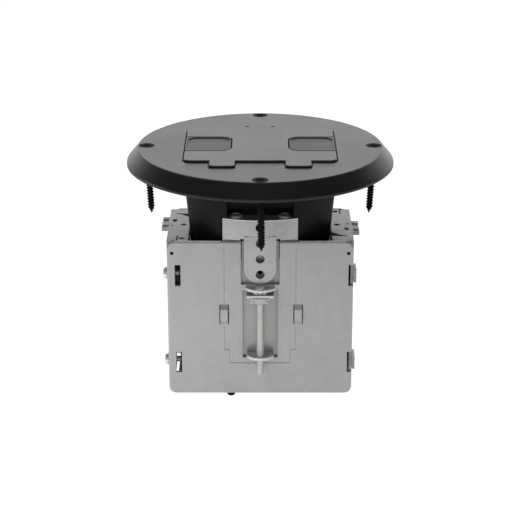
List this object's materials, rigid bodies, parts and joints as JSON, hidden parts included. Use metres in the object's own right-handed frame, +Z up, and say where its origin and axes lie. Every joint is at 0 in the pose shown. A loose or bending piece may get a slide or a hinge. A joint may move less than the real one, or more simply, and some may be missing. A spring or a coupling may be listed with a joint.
{
  "type": "floor socket box",
  "caption": "Round black floor socket cover with a hinged lid and cord doors, over an oval collar and a galvanised sheet-steel box with screw-driven height adjustment.",
  "frame": {"origin": "centre of the cover's underside, level with the finished floor", "axes": "+Z up out of the floor, front (hinge side of the lid) faces -Y, +X to the right"},
  "size_m": [0.1428, 0.1428, 0.1376],
  "materials": {
    "cover": "satin black",
    "lid": "satin black",
    "collar": "satin black moulding",
    "black_screw": "black phosphate",
    "pin_steel": "bright",
    "galvanised": "galvanised",
    "zinc": "bright zinc",
    "seal": "matte",
    "socket_face": "semi-gloss",
    "socket_body": "matte",
    "brass": "plain",
    "green_screw": "green"
  },
  "bodies": {
    "cover": {"cover_plate": "cover", "wood_screws": "black_screw", "collar": "collar", "collar_screws": "zinc", "front_hanger": "zinc", "rear_hanger": "zinc", "hanger_screws": "zinc", "lid_hinge_pins": "pin_steel", "lid_gasket": "seal"},
    "lid": {"lid": "lid", "cord_door_pins": "pin_steel"},
    "right_cord_door": {"right_cord_door": "lid"},
    "left_cord_door": {"left_cord_door": "lid"},
    "box": {"box_shell": "galvanised", "left_side_plate": "galvanised", "right_side_plate": "galvanised", "side_plate_screws": "zinc", "ground_screw": "black_screw"},
    "front_rod": {"front_height_screw": "zinc", "front_screw_clip": "zinc"},
    "rear_rod": {"rear_height_screw": "zinc", "rear_screw_clip": "zinc"},
    "carriage": {"device_frame": "zinc", "carriage_nuts": "zinc", "receptacle_yoke": "zinc", "receptacle_face": "socket_face", "receptacle_body": "socket_body", "device_screws": "zinc", "terminal_screws_brass": "brass", "terminal_screws_silver": "zinc", "device_ground_screw": "green_screw"}
  },
  "joints": [
    {"name": "lid_hinge", "type": "hinge", "parent": "cover", "child": "lid", "pos_m": [0, -0.036, 0.0064], "axis": [1, 0, 0], "range_deg": [0, 110]},
    {"name": "right_cord_door_hinge", "type": "hinge", "parent": "lid", "child": "right_cord_door", "pos_m": [0.0233, 0, 0.00775], "axis": [0, -1, 0], "range_deg": [0, 95]},
    {"name": "left_cord_door_hinge", "type": "hinge", "parent": "lid", "child": "left_cord_door", "pos_m": [-0.0233, 0, 0.00775], "axis": [0, 1, 0], "range_deg": [0, 95]},
    {"name": "box_height", "type": "slide", "parent": "cover", "child": "box", "axis": [0, 0, -1], "range_m": [0, 0.0264]},
    {"name": "carriage_height", "type": "slide", "parent": "box", "child": "carriage", "axis": [0, 0, -1], "range_m": [0, 0.0194]},
    {"name": "front_rod_turn", "type": "hinge", "parent": "box", "child": "front_rod", "pos_m": [0, -0.032, -0.085], "axis": [0, 0, 1], "range_deg": [0, 8819]},
    {"name": "rear_rod_turn", "type": "hinge", "parent": "box", "child": "rear_rod", "pos_m": [0, 0.032, -0.085], "axis": [0, 0, 1], "range_deg": [0, 8819]}
  ],
  "couplings": [
    {"joint": "front_rod_turn", "follows": "carriage_height", "rad_per_m": 7915.8},
    {"joint": "rear_rod_turn", "follows": "carriage_height", "rad_per_m": 7915.8}
  ]
}
